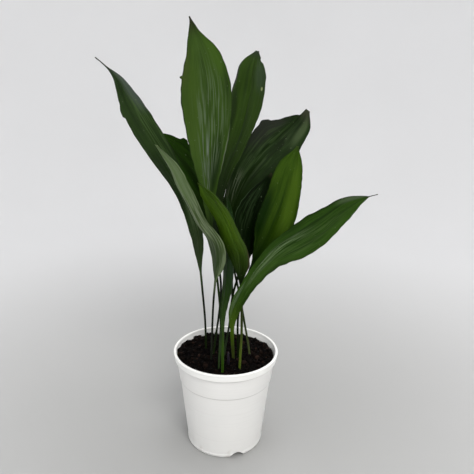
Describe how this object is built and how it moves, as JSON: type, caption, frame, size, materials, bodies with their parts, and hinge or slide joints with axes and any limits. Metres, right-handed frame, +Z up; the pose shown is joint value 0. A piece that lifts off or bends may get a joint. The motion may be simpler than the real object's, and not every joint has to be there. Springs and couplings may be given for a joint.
{
  "type": "potted cast iron plant",
  "caption": "Cast iron plant in a tapered round nursery pot: long stalked leaves arch up and out of potting soil, and a rolled new shoot comes up beside them.",
  "frame": {"origin": "middle of the pot's underside, on the surface that it rests on", "axes": "+Z up, -Y towards the viewer of the plant's front, +X to that viewer's right"},
  "size_m": [0.4281, 0.2412, 0.7434],
  "materials": {
    "pot_plastic": "satin white moulded plastic",
    "potting_soil": "dark crumbly peat",
    "leaf_deep_green": "semi-gloss, finely ribbed lengthwise",
    "leaf_fresh_green": "semi-gloss, finely ribbed lengthwise",
    "leaf_pale_green": "satin leaf underside",
    "shoot_purple": "satin"
  },
  "bodies": {
    "root": {"pot": "pot_plastic", "soil": "potting_soil", "leaf_left_arching": "leaf_deep_green", "leaf_pale_underside": "leaf_pale_green", "leaf_rear_left": "leaf_deep_green", "leaf_tall_centre": "leaf_fresh_green", "leaf_upright_rear": "leaf_fresh_green", "leaf_broad_right": "leaf_deep_green", "leaf_bright_right": "leaf_fresh_green", "leaf_low_right": "leaf_fresh_green", "leaf_front_bent": "leaf_fresh_green", "leaf_dark_middle": "leaf_deep_green", "leaf_narrow_inner": "leaf_pale_green", "new_shoot": "shoot_purple"}
  },
  "joints": []
}
